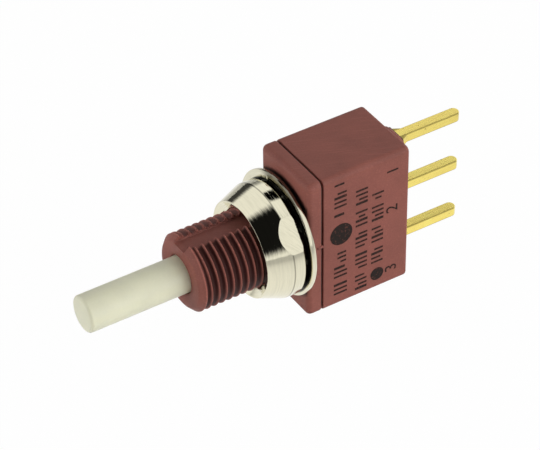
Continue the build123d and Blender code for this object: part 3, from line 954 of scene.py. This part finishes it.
def pin_shape(node, sizes):
    """A stamped terminal with the sheared edges that stand out of the case rounded."""
    def sheared(edge):
        outside = all(vert.co.y > CASE_BACK for vert in edge.verts)
        return outside and edge.calc_face_angle(0.0) > radians(25)
    return soften(copy_of(node), sheared, sizes.pin_edge / MM, 3)


def coil_shape(node, wire_r, turns):
    """A round wire wound in a right-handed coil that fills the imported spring's space."""
    front, back = extent(node, Y)
    left, right = extent(node, X)
    shape = bmesh.new()
    ring = bmesh.ops.create_circle(shape, segments=WIRE_SIDES, radius=wire_r)["verts"]
    spot = ((right - left) / 2 - wire_r, front + wire_r, 0)
    bmesh.ops.translate(shape, vec=spot, verts=ring)
    wind(shape, (back - front - 2 * wire_r) / turns, COIL_STEPS, turns)
    close_ends(shape)
    bmesh.ops.translate(shape, vec=(0, 0, middle(node, Z)), verts=shape.verts)
    return shape


def number_shape(text):
    """A flat plain number as a thin solid, with its lower left corner at the origin."""
    curve = bpy.data.curves.new("number", "FONT")
    curve.body = text
    curve.size = NUMBER_H / FONT_CAP_SHARE
    curve.extrude = INK_T / 2
    holder = in_scene("number", curve)
    evaluated = holder.evaluated_get(bpy.context.evaluated_depsgraph_get())
    mesh = bpy.data.meshes.new_from_object(evaluated)
    shape = bmesh.new()
    shape.from_mesh(mesh)
    bpy.data.objects.remove(holder)
    bpy.data.curves.remove(curve)
    bpy.data.meshes.remove(mesh)
    bmesh.ops.remove_doubles(shape, verts=shape.verts, dist=WELD)
    return shape


def print_shape(sizes):
    """Rows of bars, two round dots and the terminals' numbers, printed on the side of the case."""
    shape = bmesh.new()
    inside, outside = HALF_W - INK_SINK, HALF_W + INK_T
    width = sizes.bar_width / MM
    step = sizes.bar_step / MM
    for row, (y0, y1, z0, z1) in enumerate(BAR_ROWS):
        count = int((z1 - z0) / step) + 1
        for k in range(count):
            if (k + row) % 5 == 3 and count > 4:
                continue
            z = z0 + k * step
            short = BAR_SHORT if (k * 7 + row) % 4 == 1 else 0.0
            clipped = BAR_CLIPPED if (k * 5 + row) % 7 == 2 else 0.0
            bold = width * (BAR_BOLD if (k * 3 + row) % 4 == 2 else 1.0)
            merge(shape, box((inside, y0 + short, z), (outside, y1 - clipped, z + bold)))
    for y, z, radius in INK_DOTS:
        thick = outside - inside
        dot = turned([(0, 0), (radius, 0), (radius, thick), (0, thick)], DOT_STEPS)
        place = Matrix.Translation((inside, y, z)) @ Matrix.Rotation(radians(-90), 4, "Z")
        bmesh.ops.transform(dot, matrix=place, verts=dot.verts)
        merge(shape, dot)
    for text, z in TERMINAL_NUMBERS:
        number = number_shape(text)
        axes = Matrix(((0, 0, 1, HALF_W + INK_T / 2), (0, -1, 0, NUMBER_TOP_Y + NUMBER_H),
                       (1, 0, 0, z), (0, 0, 0, 1)))
        bmesh.ops.transform(number, matrix=axes, verts=number.verts)
        merge(shape, number)
    bmesh.ops.recalc_face_normals(shape, faces=shape.faces)
    return shape


class SWITCH_OT_housing(bpy.types.Operator):
    """Build the flange with its threaded bushing"""
    bl_idname = "switch.housing"
    bl_label = "Front housing"

    def execute(self, context):
        shape = housing_shape(context.scene.switch_sizes)
        finish_piece("threaded_housing", shape, "housing_moulding", "root",
                     ("front_housing",), sharp=50)
        return {"FINISHED"}


class SWITCH_OT_case(bpy.types.Operator):
    """Build the deep case with the raised pad round the pins"""
    bl_idname = "switch.case"
    bl_label = "Rear case"

    def execute(self, context):
        shape = case_shape(context.scene.switch_sizes)
        finish_piece("moulded_case", shape, "case_moulding", "root",
                     ("rear_case",))
        return {"FINISHED"}


class SWITCH_OT_print(bpy.types.Operator):
    """Print the rows, dots and numbers on the side of the case"""
    bl_idname = "switch.print"
    bl_label = "Print"

    def execute(self, context):
        finish_piece("case_print", print_shape(context.scene.switch_sizes), "ink", "root")
        return {"FINISHED"}


class SWITCH_OT_hardware(bpy.types.Operator):
    """Turn the panel nut and stamp the lock washer"""
    bl_idname = "switch.hardware"
    bl_label = "Nut and washer"

    def execute(self, context):
        sizes = context.scene.switch_sizes
        finish_piece("conical_nut", nut_shape(sizes), "nickel_nut", "root",
                     ("panel_nut",), sharp=6)
        finish_piece("toothed_washer", washer_shape(sizes), "nickel_washer", "root",
                     ("lock_washer",), sharp=40)
        return {"FINISHED"}


class SWITCH_OT_plunger(bpy.types.Operator):
    """Build the ivory plunger"""
    bl_idname = "switch.plunger"
    bl_label = "Plunger"

    def execute(self, context):
        finish_piece("push_rod", plunger_shape(context.scene.switch_sizes), "plunger_moulding",
                     "plunger", ("plunger",), sharp=40)
        return {"FINISHED"}


class SWITCH_OT_pins(bpy.types.Operator):
    """Round the edges of the three gold terminals"""
    bl_idname = "switch.pins"
    bl_label = "Pins"

    def execute(self, context):
        for end in ("no", "common", "nc"):
            node = f"terminal_{end}"
            finish_piece(f"pin_{end}", pin_shape(node, context.scene.switch_sizes), "gold_plate",
                         "root", (node,), sharp=30)
        return {"FINISHED"}


class SWITCH_OT_springs(bpy.types.Operator):
    """Wind the three springs"""
    bl_idname = "switch.springs"
    bl_label = "Springs"

    def execute(self, context):
        # Name, wire radius, turns, body, joint, the seat's y and z, and the share of length kept
        springs = (
            ("return", 0.16, 7, "root", "plunger_slide", SPIGOT_BACK, 0.0, 0.778),
            ("driver", 0.1, 8, "plunger", "driver_slide", SOCKET_FRONT, 0.0, 0.690),
            ("bias", 0.1, 7, "root", "rocker_tip", LEDGE_FRONT, middle("bias_spring", Z), 0.827),
        )
        for name, wire_r, turns, body, joint, seat, z, keep in springs:
            node = f"{name}_spring"
            piece = finish_piece(f"{name}_coil", coil_shape(node, wire_r, turns), "spring_wire",
                                 body, (node,), sharp=60)
            piece.modifiers.clear()
            seat * MM
            z * MM
            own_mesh(piece)
        return {"FINISHED"}


class SWITCH_OT_inner_finishes(bpy.types.Operator):
    """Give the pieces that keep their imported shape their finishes"""
    bl_idname = "switch.inner_finishes"
    bl_label = "Seals, plate, driver and contacts"

    def execute(self, context):
        finishes = {
            "case_gasket": "seal_rubber",
            "plunger_o_ring": "seal_rubber",
            "spring_plate": "plate_steel",
            "driver": "driver_moulding",
            "rocker": "contact_strip",
        }
        for end in ("no", "nc"):
            finishes[f"rocker_contact_{end}"] = "silver_contact"
            finishes[f"fixed_contact_{end}"] = "silver_contact"
        for end in ("no", "common", "nc"):
            finishes[f"terminal_seal_{end}"] = "potting_resin"
        for node, finish in finishes.items():
            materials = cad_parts[node].data.materials
            materials.clear()
            materials.append(finish_for(finish, context))
        return {"FINISHED"}


class SWITCH_OT_stage(bpy.types.Operator):
    """Set up the floor, the surrounding light and the camera"""
    bl_idname = "switch.stage"
    bl_label = "Stage"

    def execute(self, context):
        self.lay_floor(context)
        self.light_room(context)
        self.place_camera(context)
        context.scene.view_settings.view_transform = "Standard"
        return {"FINISHED"}

    def lay_floor(self, context):
        shape = bmesh.new()
        bmesh.ops.create_grid(shape, x_segments=1, y_segments=1, size=FLOOR_HALF_SIZE)
        bmesh.ops.translate(shape, vec=(0, 0, FLOOR_Z * MM), verts=shape.verts)
        material = bpy.data.materials.new("studio_floor")
        material.use_nodes = True
        nodes = Nodes(material.node_tree)
        material.node_tree.nodes.clear()
        seen = nodes.node("LightPath", {}, {}, "Is Camera Ray")
        rays = seen.socket.node.outputs
        mirrored = Flow(nodes, rays["Is Glossy Ray"]) + Flow(nodes, rays["Is Transmission Ray"])
        distance = nodes.measure("LENGTH", nodes.place())
        in_metal = nodes.ramp(distance, FLOOR_NEAR, FLOOR_FAR, FLOOR_WHITE, FLOOR_WHITE_FAR)
        share = nodes.math("MINIMUM", seen * FLOOR_WHITE + mirrored * in_metal, FLOOR_WHITE)
        speck = nodes.noise(nodes.place(), 0.05, 2)
        grey = nodes.shade((1, 1, 1), FLOOR_SHADE + 0.04 * speck)
        paper = nodes.node("BsdfDiffuse", {}, {"Color": grey})
        white = nodes.node("Emission", {}, {"Color": (1, 1, 1, 1), "Strength": 1.0})
        mixed = nodes.node("MixShader", {}, {0: share, 1: paper, 2: white})
        nodes.node("OutputMaterial", {}, {"Surface": mixed})
        floor = in_scene("studio_floor", mesh_of("studio_floor", shape))
        floor.data.materials.append(material)

    def light_room(self, context):
        world = bpy.data.worlds.new("studio_light")
        world.use_nodes = True
        world.node_tree.nodes.clear()
        nodes = Nodes(world.node_tree)
        way = nodes.node("TexCoord", {}, {}, "Generated")
        height = nodes.split(way)[Z]
        light = nodes.ramp(height, 0.0, ZENITH_HEIGHT, HORIZON_LIGHT, ZENITH_LIGHT)
        in_metal = LIGHT_IN_METAL
        for azimuth, elevation, inner, outer, level in LIGHT_PATCHES:
            azimuth, elevation = radians(azimuth), radians(elevation)
            centre = (cos(elevation) * cos(azimuth), cos(elevation) * sin(azimuth), sin(elevation))
            near = nodes.measure("DOT_PRODUCT", way, centre)
            patch = nodes.ramp(near, cos(radians(outer)), cos(radians(inner)), 1.0, level)
            light = light * patch
            if level < 1:
                in_metal = patch * in_metal
        seen = nodes.node("LightPath", {}, {}, "Is Camera Ray")
        mirrored = Flow(nodes, seen.socket.node.outputs["Is Glossy Ray"])
        light = light + mirrored * (in_metal - light)
        strength = light + seen * (1 - light)
        glow = nodes.node("Background", {}, {"Color": (1, 1, 1, 1), "Strength": strength})
        nodes.node("OutputWorld", {}, {"Surface": glow})
        context.scene.world = world

    def place_camera(self, context):
        lens = bpy.data.cameras.new("view")
        lens.lens = CAMERA_LENS
        lens.sensor_width = SENSOR_W
        lens.clip_start = 0.01
        lens.clip_end = 10
        camera = in_scene("view", lens)
        columns = [Vector(CAMERA_RIGHT), Vector(CAMERA_UP), -Vector(CAMERA_FORWARD)]
        facing = Matrix(columns).transposed().to_4x4()
        camera.matrix_world = Matrix.Translation(CAMERA_PLACE) @ facing
        context.scene.camera = camera


PIECE_STEPS = (
    SWITCH_OT_housing,
    SWITCH_OT_case,
    SWITCH_OT_print,
    SWITCH_OT_hardware,
    SWITCH_OT_plunger,
    SWITCH_OT_pins,
    SWITCH_OT_springs,
    SWITCH_OT_inner_finishes,
)


class SWITCH_PT_panel(bpy.types.Panel):
    """Lists the steps and the settings"""
    bl_label = "Push-button switch"
    bl_idname = "SWITCH_PT_panel"
    bl_space_type = "VIEW_3D"
    bl_region_type = "UI"
    bl_category = "Switch"

    def draw(self, context):
        layout = self.layout
        for step in (SWITCH_OT_stage, *PIECE_STEPS):
            layout.operator(step.bl_idname)
        for group in (context.scene.switch_sizes, context.scene.switch_colours):
            column = layout.column(align=True)
            for key in type(group).__annotations__:
                column.prop(group, key)


CLASSES = (SwitchSizes, SwitchColours, SWITCH_OT_stage, *PIECE_STEPS, SWITCH_PT_panel)


def register():
    for item in CLASSES:
        bpy.utils.register_class(item)
    bpy.types.Scene.switch_sizes = PointerProperty(type=SwitchSizes)
    bpy.types.Scene.switch_colours = PointerProperty(type=SwitchColours)


def unregister():
    del bpy.types.Scene.switch_colours
    del bpy.types.Scene.switch_sizes
    for item in reversed(CLASSES):
        bpy.utils.unregister_class(item)


def main():
    register()
    bpy.ops.switch.stage()
    bpy.ops.switch.housing()
    bpy.ops.switch.case()
    bpy.ops.switch.print()
    bpy.ops.switch.hardware()
    bpy.ops.switch.plunger()
    bpy.ops.switch.pins()
    bpy.ops.switch.springs()
    bpy.ops.switch.inner_finishes()


if __name__ == "__main__":
    main()
